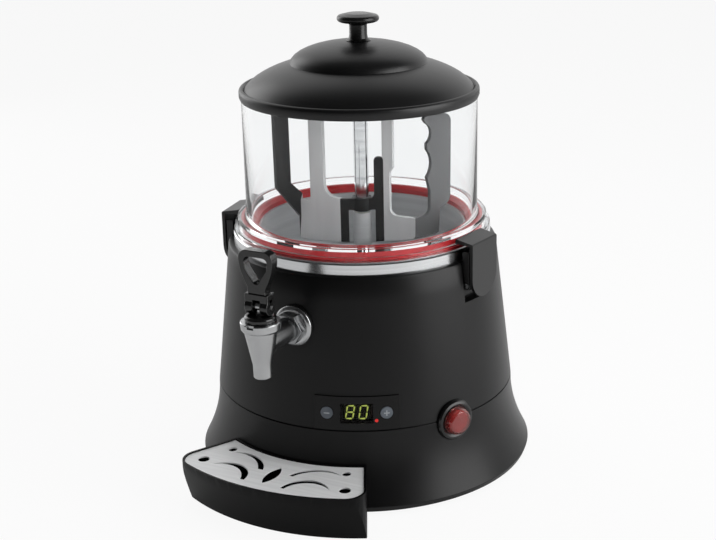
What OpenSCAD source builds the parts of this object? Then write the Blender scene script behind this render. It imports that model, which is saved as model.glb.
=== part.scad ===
// Counter-top hot drink dispenser: heated bowl under a clear jar, slow stirrer, lever tap, drip tray.
// Z is up, the tap side is -Y, and the origin is on the jar's axis at the surface that the feet stand on.
// Azimuths are in degrees from the front, towards +X.

/* [Body] */
// Radius of the base at its widest
base_r = 152; // [149:1:158]
// Height of the widest line of the base
rim_z = 9; // [7:0.5:11]
// Radius of the body at the joint between base and upper shell
seam_r = 135; // [132:0.5:138]
// Height of the joint between base and upper shell
seam_z = 72; // [70:0.5:73]
// Radius of the upper shell at its top
top_r = 120; // [119:0.5:123]
// Height of the upper shell's top
top_z = 203.5; // [203:0.5:206]
// Wall of both shells
wall = 3; // [2.5:0.25:3.5]
// Height of the rubber feet
foot_h = 7.5; // [6.5:0.25:8]
// Radius of a rubber foot
foot_r = 11; // [8:0.5:13]
// Distance of the feet from the axis
foot_place_r = 112; // [100:1:118]

/* [Jar] */
// Outer radius of the clear jar
jar_r = 103; // [102:0.25:104]
// Wall of the jar
jar_wall = 3; // [2.5:0.25:3.5]
// Height of the jar from its shelf to its mouth
jar_h = 111; // [100:1:125]
// Radius of the jar's bottom flange
flange_r = 114.4; // [113.5:0.1:114.8]
// Thickness of the red gasket
gasket_h = 7.3; // [6:0.1:8]

/* [Pan and bowl] */
// Height of the steel rim ring
rim_ring_h = 10; // [9:0.5:11]
// Radius of the steel rim ring
rim_ring_r = 115; // [114.8:0.1:116.5]
// Thickness of the steel sheet
sheet = 1.2; // [0.8:0.1:1.4]
// Outer radius of the water pan
pan_r = 105.2; // [104.5:0.1:105.5]
// Height of the underside of the water pan
pan_floor_z = 128; // [124:1:130]
// Outer radius of the product bowl
bowl_r = 93.2; // [91:0.2:94]
// Height of the underside of the product bowl
bowl_floor_z = 147; // [144:0.5:148]
// Outer radius of the bowl's centre column
column_r = 8.2; // [8:0.1:9]
// Height of the top of the centre column
column_top_z = 224; // [218:1:225]

/* [Lid] */
// Outer radius of the lid's rim
lid_r = 104.8; // [104.5:0.1:106.5]
// Height of the lid's rounded rim
lid_rim_h = 9.5; // [8:0.5:11]
// Radius of the crease between the two tiers
crease_r = 60; // [54:1:66]
// Rise of the upper tier
dome_h = 19.5; // [16:0.5:22]
// Wall of the lid
lid_wall = 2.2; // [1.8:0.1:2.6]
// Radius of the knob's disc
knob_r = 18.3; // [16:0.1:21]
// Radius of the knob's stem
knob_stem_r = 7.7; // [6.5:0.1:9]
// Height of the knob
knob_h = 23.5; // [22:0.5:30]

/* [Stirrer] */
// Azimuth that the stirrer's flat hub faces at rest
stirrer_az = 28; // [0:1:90]
// Thickness of the stirrer's plates
blade_t = 4; // [3:0.25:5]
// Height of the stirrer's lowest edge
blade_low_z = 192; // [188:1:196]
// Height of the top of the stirrer's hub and left plate
blade_mid_z = 238; // [237:0.5:242]
// Height of the top of the stirrer's right plate
blade_right_z = 222; // [218:1:230]
// Height of the top of the stirrer's arms
arm_top_z = 314; // [290:1:318]
// Radius of the drive shaft
shaft_r = 5; // [4:0.25:5.5]
// Outer radius of the steel tube over the shaft
tube_r = 6.5; // [6.2:0.1:7.2]

/* [Tap] */
// Height of the tap's horizontal axis
tap_z = 160.2; // [158:0.2:163]
// Distance of the spout from the jar's axis
spout_r = 177; // [174:1:190]
// Radius of the round wall plate
escutcheon_r = 17.5; // [16:0.5:20]
// Radius of the tap's round collar
tap_flange_r = 16.6; // [15.8:0.2:18]
// Radius of the cone at its top
cone_top_r = 13.8; // [12.6:0.2:14.6]
// Radius of the spout's mouth
cone_low_r = 7.6; // [7:0.2:8.4]
// Length of the spout cone
cone_h = 45.5; // [44:0.5:50]
// Width of the handle's ring
handle_w = 31; // [29:0.5:36]
// Height of the handle's ring
handle_ring_h = 31; // [29:0.5:36]

/* [Latches] */
// Azimuth of each latch, left and right
latch_az = 81.5; // [78:0.5:90]
// Width of the latch
latch_w = 39; // [36:0.5:41]
// Radial distance of the latch's outer face
latch_out_r = 129; // [128.5:0.1:130]
// Radius of the latch's hinge pin
pin_r = 2; // [1.5:0.1:2.4]

/* [Display and switch] */
// Azimuth of the middle of the display panel
panel_az = 24.4; // [23:0.2:27]
// Angle that the display panel covers
panel_arc = 31; // [29:0.5:33]
// Height of the display panel
panel_h = 29; // [27:0.5:31]
// Radius of a push button
button_r = 5.2; // [4:0.1:5.6]
// Azimuth of the switch
switch_az = 62; // [58:0.5:66]
// Height of the switch's axis
switch_z = 70.5; // [68:0.5:74]
// Radius of the switch's bezel
bezel_r = 18; // [16.5:0.25:19]

/* [Drip tray] */
// Height of the drip tray
tray_h = 43; // [38:1:48]
// Radius of the tray's front edge at the top
tray_r = 201; // [196:1:210]
// Radius of the tray's front edge at the bottom
tray_low_r = 187; // [182:1:192]
// Angle that the tray covers
tray_arc = 55; // [48:1:58]
// Wall of the tray
tray_wall = 2.5; // [2:0.25:3]
// Radius of the tray's corners
tray_corner_r = 17; // [12:0.5:18]

/* [Hidden] */

$fn = 96;
run_gap = 0.05;   // radial play of a pin or shaft in its bore
fit_gap = 0.3;    // play between pieces that slide past each other
seat_gap = 0.1;   // play of a plug in its hole

base_steps = 8;
slope = (seam_r - top_r) / (top_z - seam_z);
// Outer radius of the body at height z
function body_r(z) = z < seam_z
  ? seam_r + (base_r - seam_r) * pow((seam_z - z) / (seam_z - rim_z), 2)
  : seam_r - slope * (z - seam_z);

rim_low_z = 2;          // underside of the base's rim
rim_low_r = base_r - 6;
ledge_h = 3;
plate_t = 1.5;          // base plate
ledge_z = foot_h + plate_t;   // underside of the base shell's screw ledge
plate_r = rim_low_r - wall - 1;
screw_place_r = plate_r - 8;
groove = 1.2;           // shadow line at the joint of the shells
tongue_h = 4.5;

pan_top_z = top_z + rim_ring_h;
bowl_top_z = pan_top_z + sheet;
shelf_z = bowl_top_z + gasket_h;
jar_top_z = shelf_z + jar_h;
jar_in_r = jar_r - jar_wall;
gasket_r = 107.6;
gasket_in_r = bowl_r + 0.8;
skirt_r = 111;
flange_h = 3.8;

lid_seat_z = jar_top_z;
lid_low_z = jar_top_z - 2;
lid_top_of_rim = lid_low_z + lid_rim_h;
tier_a = lid_r - 0.8;
tier_h = 39;
tier_z = lid_low_z - 2.5;
function tier_top(r) = tier_z + tier_h * sqrt(max(0, 1 - pow(r / tier_a, 2)));
crease_z = tier_top(crease_r);
apex_z = crease_z - 0.6 + dome_h;

panel_low_z = seam_z + groove + 0.6;
panel_top_z = panel_low_z + panel_h;
panel_mid_z = (panel_low_z + panel_top_z) / 2;
panel_t = 1.6;
button_da = 10.8;
led_da = 7.1;
led_dz = 6.3;            // depth of the light below the panel's middle
led_r = 1.4;
cut_margin = 3.5;        // how far the panel laps over its opening on each side
plug_play = 0.1;         // play of the panel's plug in its opening
plug_lap = 3.6;          // angle by which the panel is wider than its opening
board_r = 112;          // radial distance of the control board's back

tap_out = spout_r;
cone_top_z = tap_z + 18.8;
cone_low_z = cone_top_z - cone_h;
tap_flange_t = 3.5;
collar_drop = 4.5;       // how far the collar reaches down over the cone
tip_h = 11;              // straight end of the spout
bonnet_z = cone_top_z + tap_flange_t;
bonnet_h = 5;
tap_pivot_z = bonnet_z + bonnet_h + 7.3;
arm_r = 10;
shank_r = 7.9;
shank_bore_r = 5.5;
seat_z = tap_z - 8.2;
tap_bore_r = 5;
chamber_r = 9;
stem_r = 3;
tap_pin_r = 1.8;

latch_tan = latch_w / 2;
latch_face_t = 2.8;
latch_in_r = latch_out_r - latch_face_t;
latch_pin_rho = latch_in_r - 3.7;
latch_pin_z = top_z - 20.5;
latch_round_z = latch_pin_z + 7;     // centre of the cover's round lower end
latch_low_z = latch_round_z - latch_tan;
hook_low_z = bowl_top_z + 0.2 + flange_h + 0.3;
hook_tip_r = skirt_r + 0.5;
pocket_r = latch_pin_rho - 6.5;
bracket_t = 2;
cheek_t = 2.5;

bezel_out_r = body_r(switch_z) + 3.2;
switch_in_r = 12.6;
switch_face_r = bezel_out_r - 0.4;
rocker_r = 10;
rocker_pin_r = 1.2;
cap_out_r = switch_face_r + 6.8;

tray_gap = 1;
tab_w = 10;
tab_h = 6;
tab_x = 42;
tab_z = 22;
grille_t = 1.2;
grille_z = tray_h - 2.2;

// Moves a piece to an azimuth. Inside, -Y is outwards and +X is towards growing azimuth.
module at_az(az) {
  rotate([0, 0, az]) children();
}

// A cylinder along the radius, from radial distance r0 to r1
module radial_rod(r, r0, r1, z = 0, x = 0, fn = 96) {
  translate([x, -r0, z]) rotate([90, 0, 0]) cylinder(h = r1 - r0, r = r, $fn = fn);
}

// A block in radial terms: tangent x0..x1, radial r0..r1, height z0..z1
module radial_block(x0, x1, r0, r1, z0, z1) {
  translate([x0, -r1, z0]) cube([x1 - x0, r1 - r0, z1 - z0]);
}

// A tube or disc between two heights
module ring(r_out, r_in, z0, z1) {
  translate([0, 0, z0]) difference() {
    cylinder(h = z1 - z0, r = r_out);
    if (r_in > 0) translate([0, 0, -1]) cylinder(h = z1 - z0 + 2, r = r_in);
  }
}

// Points along the flared base from height z0 to z1, moved outwards by d
function flare(z0, z1, d) =
  [for (i = [0 : base_steps]) let (z = z0 + (z1 - z0) * i / base_steps) [body_r(z) + d, z]];
function reversed(p) = [for (i = [len(p) - 1 : -1 : 0]) p[i]];

// ---- Shells ----

module upper_shell() {
  edge = 2.5;
  neck_r = pan_r + 0.4;
  color("#161617") difference() {
    union() {
      rotate_extrude() polygon([
        [seam_r - wall, seam_z],
        [seam_r - groove, seam_z],
        [seam_r - groove, seam_z + groove],
        [body_r(seam_z + groove), seam_z + groove],
        [body_r(top_z - edge), top_z - edge],
        [body_r(top_z) - edge * 0.3, top_z - edge * 0.3],
        [body_r(top_z) - edge, top_z],
        [neck_r, top_z],
        [neck_r, top_z - wall],
        [body_r(top_z - wall) - wall, top_z - wall],
      ]);
      for (s = [-1, 1]) at_az(s * latch_az) latch_pad();
      radial_rod(escutcheon_r, boss_back_r, wall_plate_r, tap_z);
    }
    radial_rod(escutcheon_r + fit_gap, wall_plate_r, base_r, tap_z);
    for (s = [-1, 1]) at_az(s * latch_az) latch_pocket();
    radial_rod(arm_r + fit_gap, pan_r, base_r, tap_z);
    at_az(panel_az) panel_cut();
    at_az(switch_az) radial_rod(bezel_r + seat_gap, pan_r, base_r, switch_z);
  }
}

// Thicker wall behind a latch, kept inside the shell's own cone
module latch_pad() {
  intersection() {
    radial_block(-latch_tan - 3, latch_tan + 3, pocket_r - wall, base_r, latch_low_z - 6, top_z);
    rotate_extrude() polygon([
      [pocket_r - wall - 6, latch_low_z - 6],
      [body_r(latch_low_z - 6) - wall / 2, latch_low_z - 6],
      [body_r(top_z) - wall / 2, top_z],
      [pocket_r - wall - 6, top_z],
    ]);
  }
}

// Flat pocket that a latch bracket sits in
module latch_pocket() {
  radial_block(-latch_tan - 1, latch_tan + 1, pocket_r, base_r, latch_low_z - 2, top_z + 1);
}

// Opening behind the display panel
module panel_cut() {
  arc = panel_arc - plug_lap;
  rotate([0, 0, -90 - arc / 2]) rotate_extrude(angle = arc) polygon([
    [seam_r - 20, panel_low_z + cut_margin],
    [base_r, panel_low_z + cut_margin],
    [base_r, panel_top_z - cut_margin],
    [seam_r - 20, panel_top_z - cut_margin],
  ]);
}

module base_shell() {
  tongue_r = seam_r - wall - seat_gap;
  color("#161617") difference() {
    union() {
      rotate_extrude() polygon(concat(
        [[rim_low_r - wall, rim_low_z], [rim_low_r, rim_low_z], [base_r - 1.6, rim_z - 4.4]],
        flare(rim_z, seam_z, 0),
        [[tongue_r, seam_z], [tongue_r - slope * tongue_h, seam_z + tongue_h],
          [tongue_r - wall, seam_z + tongue_h]],
        reversed(flare(rim_z + 4, seam_z - 2, -wall))
      ));
      // Ledge that the base plate is screwed to
      ring(body_r(ledge_z + ledge_h) - 1, screw_place_r - 5, ledge_z, ledge_z + ledge_h);
    }
    for (a = [45 : 90 : 315]) at_az(a) translate([0, -screw_place_r, 0])
      cylinder(h = 30, r = 1.5, $fn = 24);
    at_az(switch_az) radial_rod(bezel_r + seat_gap, pan_r, base_r + 5, switch_z);
    for (s = [-1, 1]) translate([s * tab_x, 0, 0])
      radial_block(-tab_w / 2 - fit_gap, tab_w / 2 + fit_gap, body_r(tab_z) - 30, base_r + 5,
        tab_z - fit_gap, tab_z + tab_h + fit_gap);
    at_az(180) radial_rod(gland_r + seat_gap, base_r - 30, base_r + 5, gland_z);
  }
}

module base_plate() {
  color("#b9bcc0") difference() {
    ring(plate_r, 0, ledge_z - plate_t, ledge_z);
    for (a = [45 : 90 : 315]) at_az(a) translate([0, -screw_place_r, 0])
      cylinder(h = 30, r = 1.7, $fn = 24);
  }
}

module rubber_feet() {
  color("#202020") for (a = [45 : 90 : 315]) at_az(a) translate([0, -foot_place_r, 0]) {
    cylinder(h = 2, r1 = foot_r - 1.5, r2 = foot_r);
    translate([0, 0, 2]) cylinder(h = foot_h - 2, r = foot_r);
  }
}

module base_screws() {
  color("#9a9da0") for (a = [45 : 90 : 315]) at_az(a) translate([0, -screw_place_r, 0]) {
    translate([0, 0, ledge_z - plate_t - 2]) cylinder(h = 2, r = 3, $fn = 32);
    translate([0, 0, ledge_z - plate_t]) cylinder(h = plate_t + ledge_h, r = 1.5, $fn = 24);
  }
}

// ---- Water pan, product bowl, jar ----

module water_pan() {
  color("#c9ccd0") difference() {
    rotate_extrude() polygon([
      [grommet_r, pan_floor_z],
      [pan_r, pan_floor_z],
      [pan_r, pan_top_z - sheet],
      [rim_ring_r - sheet, pan_top_z - sheet],
      [rim_ring_r - sheet, top_z],
      [rim_ring_r, top_z],
      [rim_ring_r, pan_top_z - 1],
      [rim_ring_r - 1, pan_top_z],
      [pan_r - sheet, pan_top_z],
      [pan_r - sheet, pan_floor_z + sheet],
      [grommet_r, pan_floor_z + sheet],
    ]);
    radial_rod(shank_r + 2.2, bowl_r, pan_r + 5, tap_z);
    for (s = [-1, 1]) translate([s * heater_leg_x, heater_r, 0])
      cylinder(h = 300, r = heater_leg_r + seat_gap);
  }
}

grommet_r = 12.5;
module pan_grommet() {
  color("#2a2a2a") rotate_extrude() polygon([
    [column_r, pan_floor_z - 1.5],
    [grommet_r + 2.5, pan_floor_z - 1.5],
    [grommet_r + 2.5, pan_floor_z],
    [grommet_r, pan_floor_z],
    [grommet_r, pan_floor_z + sheet],
    [grommet_r + 2.5, pan_floor_z + sheet],
    [grommet_r + 1.5, pan_floor_z + sheet + 1.5],
    [column_r, pan_floor_z + sheet + 1.5],
  ]);
}

module product_bowl() {
  column_in_r = column_r - sheet;
  color("#cfd2d5") difference() {
    union() {
      rotate_extrude() polygon([
        [column_in_r, column_low_z],
        [column_r, column_low_z],
        [column_r, bowl_floor_z],
        [bowl_r - 6, bowl_floor_z],
        [bowl_r, bowl_floor_z + 6],
        [bowl_r, pan_top_z],
        [rim_ring_r - 4, pan_top_z],
        [rim_ring_r - 4, bowl_top_z],
        [bowl_r - sheet, bowl_top_z],
        [bowl_r - sheet, bowl_floor_z + 6],
        [bowl_r - 6 - sheet / 2, bowl_floor_z + sheet],
        [column_r, bowl_floor_z + sheet],
        [column_r, column_top_z],
        [column_in_r, column_top_z],
      ]);
      radial_rod(shank_r + 2, bowl_r - sheet, pan_r + 3, tap_z);
    }
    radial_rod(shank_r + run_gap, bowl_r - 10, bowl_r + 20, tap_z);
  }
}

column_low_z = 112;
module column_bush() {
  color("#e8e6df") for (z = [column_low_z, column_top_z - 10])
    ring(column_r - sheet, shaft_r + run_gap, z, z + 10);
}

module jar_gasket() {
  color("#b3202a") rotate_extrude() polygon([
    [gasket_in_r, bowl_top_z],
    [gasket_r, bowl_top_z],
    [gasket_r, shelf_z],
    [jar_in_r - 3, shelf_z],
    [gasket_in_r, shelf_z - 3],
  ]);
}

module jar() {
  foot_z = bowl_top_z + 0.2;
  fillet = 3;
  color("#dfe6ea", 0.35) rotate_extrude($fn = 128) polygon(concat(
    [
      [jar_in_r, shelf_z],
      [gasket_r + seat_gap, shelf_z],
      [gasket_r + seat_gap, foot_z],
      [flange_r, foot_z],
      [flange_r, foot_z + flange_h - 0.6],
      [flange_r - 0.6, foot_z + flange_h],
      [skirt_r, foot_z + flange_h],
      [skirt_r, shelf_z + 4],
      [skirt_r - 1.2, shelf_z + 5.2],
      [jar_r + fillet, shelf_z + 5.2],
    ],
    [for (i = [0 : 4]) let (a = i * 22.5)
      [jar_r + fillet * (1 - sin(a)), shelf_z + 5.2 + fillet * (1 - cos(a))]],
    [[jar_r, jar_top_z - 0.6], [jar_r - 0.6, jar_top_z], [jar_in_r, jar_top_z]]
  ));
}

// ---- Heater and sensors ----

heater_r = 62;
heater_tube_r = 4;
heater_leg_x = 9;
heater_leg_r = 3.2;
heater_z = pan_floor_z + sheet + 7;
module heating_element() {
  color("#8d8f92") {
    rotate_extrude() translate([heater_r, heater_z]) circle(r = heater_tube_r, $fn = 32);
    for (s = [-1, 1]) translate([s * heater_leg_x, heater_r, 0]) {
      translate([0, 0, pan_floor_z - 12]) cylinder(h = heater_z - pan_floor_z + 12, r = heater_leg_r);
      ring(heater_leg_r + 3, 0, pan_floor_z + sheet, pan_floor_z + sheet + 1.5);
    }
  }
}

module bowl_probe() {
  color("#b8bcc0") translate([-45, -20, bowl_floor_z - 6]) cube([12, 30, 6]);
}

module safety_thermostat() {
  color("#d8d2c4") translate([45, -20, pan_floor_z - 10]) cylinder(h = 10, r = 8);
}

// ---- Drive ----

bracket_z = 100;
leg_x = 48;
gearbox_h = 28;
motor_h = 50;
module motor_bracket() {
  color("#a9adb1") {
    difference() {
      translate([-leg_x - 6, -leg_x - 6, bracket_z]) cube([2 * leg_x + 12, 2 * leg_x + 12, 2]);
      translate([0, 0, bracket_z - 1]) cylinder(h = 4, r = 11);
      for (x = [-1, 1], y = [-1, 1]) translate([x * 34, y * 24, bracket_z - 1])
        cylinder(h = 4, r = 2.1, $fn = 24);
    }
    for (x = [-1, 1], y = [-1, 1]) translate([x * leg_x, y * leg_x, ledge_z])
      cylinder(h = bracket_z - ledge_z, r = 4, $fn = 32);
  }
}

module gearbox() {
  color("#6f7377") difference() {
    union() {
      translate([-40, -30, bracket_z - gearbox_h]) cube([80, 60, gearbox_h]);
      translate([0, 0, bracket_z]) cylinder(h = 4, r = 10.8);
    }
    translate([0, 0, bracket_z - socket_h]) cylinder(h = 30, r = shaft_r + run_gap);
    for (x = [-1, 1], y = [-1, 1]) translate([x * 34, y * 24, bracket_z - 10])
      cylinder(h = 12, r = 1.9, $fn = 24);
  }
}

module motor_can() {
  color("#8c9093") translate([10, 0, bracket_z - gearbox_h - motor_h]) {
    cylinder(h = motor_h, r = 28);
    translate([0, 0, -3]) cylinder(h = 3, r = 8);
  }
}

module motor_screws() {
  color("#9a9da0") for (x = [-1, 1], y = [-1, 1]) translate([x * 34, y * 24, 0]) {
    translate([0, 0, bracket_z + 2]) cylinder(h = 2.5, r = 3.6, $fn = 32);
    translate([0, 0, bracket_z - 9]) cylinder(h = 11, r = 1.9, $fn = 24);
  }
}

socket_h = 14;          // depth of the gearbox's socket for the shaft
shaft_top_z = arm_top_z - 14;
tube_top_z = jar_top_z + 6;
module drive_shaft() {
  color("#c4c7ca") translate([0, 0, bracket_z - socket_h])
    cylinder(h = shaft_top_z - bracket_z + socket_h, r = shaft_r);
}

collar_r = 8.6;
collar_z = column_top_z + 2;
collar_h = blade_mid_z - collar_z;
// Points of an arc about [x, y]
function arc(x, y, r, a0, a1, n = 6) =
  [for (i = [0 : n]) let (a = a0 + (a1 - a0) * i / n) [x + r * cos(a), y + r * sin(a)]];

// An upright plate of the stirrer that stands on the plan line from a to b. Its outline is drawn
// with the distance from a as x and the height as y.
module plate(a, b) {
  d = b - a;
  translate([a[0], a[1], 0]) rotate([0, 0, atan2(d[1], d[0])])
    translate([0, blade_t / 2, 0]) rotate([90, 0, 0]) linear_extrude(blade_t) children();
}

// Plan of the stirrer seen along its hub plate: left arm, left plate, hub, right plate, right arm
left_tip = [-77, 4];
left_knee = [-56, 22];
hub_left = [-19, -4];
hub_right = [20, -4];
right_knee = [47, -18];
right_tip = [79, 5];
step = 0.4;             // difference in height of neighbouring plates
knee_lap = 0.8;         // how far a plate runs past a knee
finger_z = 276;

module stirrer() {
  low = blade_low_z;
  mid = blade_mid_z;
  right_mid = blade_right_z;
  top = arm_top_z;
  lap = knee_lap;
  hub_len = norm(hub_right - hub_left);
  left_plate_len = norm(hub_left - left_knee);
  left_len = norm(left_knee - left_tip);
  right_plate_len = norm(right_knee - hub_right);
  right_len = norm(right_tip - right_knee);
  arm_x = 13;              // left side of the left plate's arm
  arm_end_x = 28;          // right side of that arm
  notch_r = 12;            // round corner between that arm and the hub
  bend_z = 247;            // height where the left outer arm turns inwards
  outer_arm_w = 15.8;
  finger_w = 9;
  foot_w = 7;              // width of the fork's left leg
  comb_x = 17.5;           // deepest line of the scallops on the right outer arm
  color("#1c1c1d") rotate([0, 0, stirrer_az]) difference() {
    union() {
      translate([0, 0, collar_z]) cylinder(h = collar_h, r = collar_r);
      // Hub fork that straddles the fixed column, with the tall finger at its right end
      plate(hub_left, hub_right) polygon(concat(
        [[-lap, low - step], [foot_w, low - step], [foot_w, collar_z + 1]],
        [[hub_len - finger_w + 1, collar_z + 1], [hub_len - finger_w + 1, low - step]],
        [[hub_len + lap, low - step]],
        arc(hub_len - 4, finger_z - 4, 4, 0, 90),
        arc(hub_len - finger_w + 4, finger_z - 4, 4, 90, 180),
        arc(hub_len - finger_w - 4, mid + 4 - step, 4, 0, -90),
        [[-lap, mid - step]]
      ));
      // Left plate and its arm
      plate(left_knee, hub_left) polygon(concat(
        [[-lap, low], [left_plate_len + lap, low], [left_plate_len + lap, mid]],
        arc(arm_end_x + notch_r, mid + notch_r, notch_r, 270, 180),
        arc(arm_end_x - 2, top - 2, 2, 0, 90, 3),
        arc(arm_x + 2, top - 2, 2, 90, 180, 3),
        arc(arm_x - 6, mid - 2, 6, 0, -90),
        [[-lap, mid - 8]]
      ));
      // Left outer arm, which leans inwards at its foot
      plate(left_tip, left_knee) polygon([
        [0, top], [0, bend_z - 1], [left_len - 2, bend_z - 33], [left_len + lap, bend_z - 33],
        [left_len + lap, bend_z - 11], [outer_arm_w, bend_z + 1], [outer_arm_w, top],
      ]);
      // Right plate and its arm
      plate(hub_right, right_knee) polygon(concat(
        [[-lap, low], [right_plate_len + lap, low], [right_plate_len + lap, right_mid]],
        arc(6.3 + 7, right_mid + 7, 7, 270, 180),
        [[6.3, 262], [9.4, 267]],
        arc(9.4 - 2, top - 2, 2, 0, 90, 3),
        [[-lap, top]]
      ));
      // Right outer arm with its scalloped inner edge
      plate(right_knee, right_tip) polygon(concat(
        [[-lap, low + step], [right_len - 14, low + 4], [right_len - 12, right_mid + 4]],
        arc(right_len - 9, right_mid + 15, 9, -70, 0),
        arc(right_len - 8, top - 8, 8, 0, 90),
        arc(12, top - 3, 3, 90, 180, 3),
        arc(comb_x - 10.6, top - 16, 10.6, 65, -60),
        arc(comb_x - 18.7, top - 43.5, 18.7, 43, -43),
        [[comb_x - 1.4, top - 69], [comb_x - 1.4, right_mid + 8]],
        arc(comb_x - 7.4, right_mid + 6 + step, 6, 0, -90),
        [[-lap, right_mid + step]]
      ));
    }
    cylinder(h = 400, r = shaft_r + run_gap);
  }
}

module shaft_tube() {
  color("#d5d8da") ring(tube_r, shaft_r + run_gap, collar_z + collar_h, tube_top_z);
}

module tube_cap() {
  color("#1c1c1d") {
    ring(tube_r + 1, 0, tube_top_z, tube_top_z + 4);
    ring(shaft_r, 0, shaft_top_z, tube_top_z);
  }
}

// ---- Lid ----

dome_steps = 9;
// Points of one tier's curve from radius r0 to r1, with the wall taken off by d
function tier_points(r0, r1, d) =
  [for (i = [0 : dome_steps]) let (r = r0 + (r1 - r0) * i / dome_steps) [r, tier_top(r) - d]];
// Points of the upper tier, evenly spaced in angle so that its shoulder is round
function dome_points(a0, a1, d) =
  [for (i = [0 : dome_steps]) let (a = a0 + (a1 - a0) * i / dome_steps)
    [max(0, (crease_r - d * 0.6) * sin(a)), crease_z - 0.6 + (dome_h - d) * cos(a)]];

module lid() {
  bead = 3;
  edge_r = lid_r - 4.6;
  color("#141415") difference() {
    rotate_extrude($fn = 128) polygon(concat(
      [[0, apex_z - lid_wall]],
      [[0, apex_z]],
      dome_points(8, 88, 0),
      tier_points(crease_r + 0.5, edge_r, 0),
      [for (i = [0 : 4]) let (a = 90 - i * 22.5)
        [lid_r - bead + bead * cos(a), lid_top_of_rim - bead + bead * sin(a)]],
      [
        [lid_r, lid_low_z + 2.4],
        [lid_r - 1, lid_low_z],
        [jar_r + seat_gap, lid_low_z],
        [jar_r + seat_gap, lid_seat_z],
        [jar_in_r, lid_seat_z],
        [jar_in_r - 0.3, lid_seat_z - 2],
        [jar_in_r - 0.3 - lid_wall, lid_seat_z - 2],
      ],
      reversed(tier_points(crease_r, edge_r - 5.5, lid_wall + 0.6)),
      reversed(dome_points(0.5, 84, lid_wall))
    ));
    cylinder(h = 500, r = lid_screw_r + seat_gap);
  }
}

lid_screw_r = 2.5;
washer_z = apex_z - lid_wall - 1.25;
module lid_knob() {
  foot_z = apex_z - 0.02;
  edge = 3;
  color("#121213") difference() {
    translate([0, 0, foot_z]) rotate_extrude() polygon(concat(
      [[0, 0], [knob_stem_r + 3, 0], [knob_stem_r + 0.6, 2]],
      [[knob_stem_r, 5], [knob_stem_r, knob_h - 10], [knob_stem_r + 2, knob_h - 8.2]],
      [for (i = [0 : 6]) let (a = -80 + i * 28)
        [knob_r - edge + edge * cos(a), knob_h - 4.6 + edge * sin(a)]],
      [[knob_r * 0.55, knob_h - 0.3], [0, knob_h]]
    ));
    translate([0, 0, foot_z - 1]) cylinder(h = 15, r = lid_screw_r);
  }
}

module lid_screw() {
  color("#b9bcc0") {
    translate([0, 0, washer_z]) cylinder(h = 1, r = 8);
    translate([0, 0, washer_z - 3]) cylinder(h = 3, r = 4.5);
    translate([0, 0, washer_z - 3]) cylinder(h = 14, r = lid_screw_r);
  }
}

// ---- Display ----

// A curved strip that follows the body, arc degrees wide, proud of it by d1 and sunk by d0
module body_strip(arc, z0, z1, d0, d1) {
  rotate([0, 0, -90 - arc / 2]) rotate_extrude(angle = arc) polygon([
    [body_r(z0) + d0, z0], [body_r(z0) + d1, z0], [body_r(z1) + d1, z1], [body_r(z1) + d0, z1],
  ]);
}

window_arc = 12;
window_h = 17;
module panel_frame() {
  plug_arc = panel_arc - plug_lap - 0.4;
  color("#0f0f10") at_az(panel_az) difference() {
    union() {
      body_strip(panel_arc, panel_low_z, panel_top_z, 0, panel_t);
      body_strip(plug_arc, panel_low_z + cut_margin + plug_play,
        panel_top_z - cut_margin - plug_play, -wall - 1, 0.5);
      for (s = [-1, 1], dz = [-8.4, 8.4])
        radial_rod(1.8, board_r + 1.6, body_r(panel_mid_z) - 6.2, panel_mid_z + dz, s * 27.5, 32);
    }
    body_strip(window_arc, panel_mid_z - window_h / 2, panel_mid_z + window_h / 2, -1, 5);
    body_strip(window_arc - 1, panel_mid_z - 7, panel_mid_z + 7, -10, 5);
    for (s = [-1, 1]) at_az(s * button_da)
      radial_rod(button_r + fit_gap, board_r, base_r, panel_mid_z);
    for (s = [-1, 1]) at_az(s * button_da)
      radial_rod(button_r + 1.3, board_r + 2, body_r(panel_mid_z) - wall + 0.2, panel_mid_z);
    at_az(led_da) radial_rod(led_r + run_gap, board_r, base_r, led_z);
  }
}

led_z = panel_mid_z - led_dz;
module display_window() {
  color("#1a0f10", 0.8) at_az(panel_az)
    body_strip(window_arc - 0.1, panel_mid_z - window_h / 2 + 0.05, panel_mid_z + window_h / 2 - 0.05,
      -1, panel_t - 0.4);
}

module display_module() {
  color("#2b2d2f") at_az(panel_az) radial_block(-12, 12, board_r + 1.6, body_r(panel_mid_z) - 4.6,
    panel_mid_z - 6.5, panel_mid_z + 6.5);
}

module control_board() {
  color("#1e6b3a") at_az(panel_az) {
    radial_block(-35, 35, board_r, board_r + 1.6, panel_mid_z - 14, panel_mid_z + 14);
    for (s = [-1, 1]) radial_block(s * 22 - 3, s * 22 + 3, board_r + 1.5, board_r + 8,
      panel_mid_z - 3, panel_mid_z + 3);
    radial_block(-16, 16, board_r - 14, board_r + 0.1, panel_mid_z - 12, panel_mid_z + 10);
  }
}

button_travel = 0.8;
module button(s) {
  face = body_r(panel_mid_z) + panel_t + 0.5;
  back = body_r(panel_mid_z) - wall - 1;
  color("#8b9094") at_az(panel_az + s * button_da) {
    radial_rod(button_r, back, face, panel_mid_z);
    radial_rod(button_r + 0.9, back, back + 0.9, panel_mid_z);
  }
}
module button_down() { button(-1); }
module button_up() { button(1); }

module status_led() {
  color("#d01818") at_az(panel_az + led_da)
    radial_rod(led_r, board_r + 6, body_r(led_z) + panel_t + 0.3, led_z, 0, 32);
}

// ---- Switch ----

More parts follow.
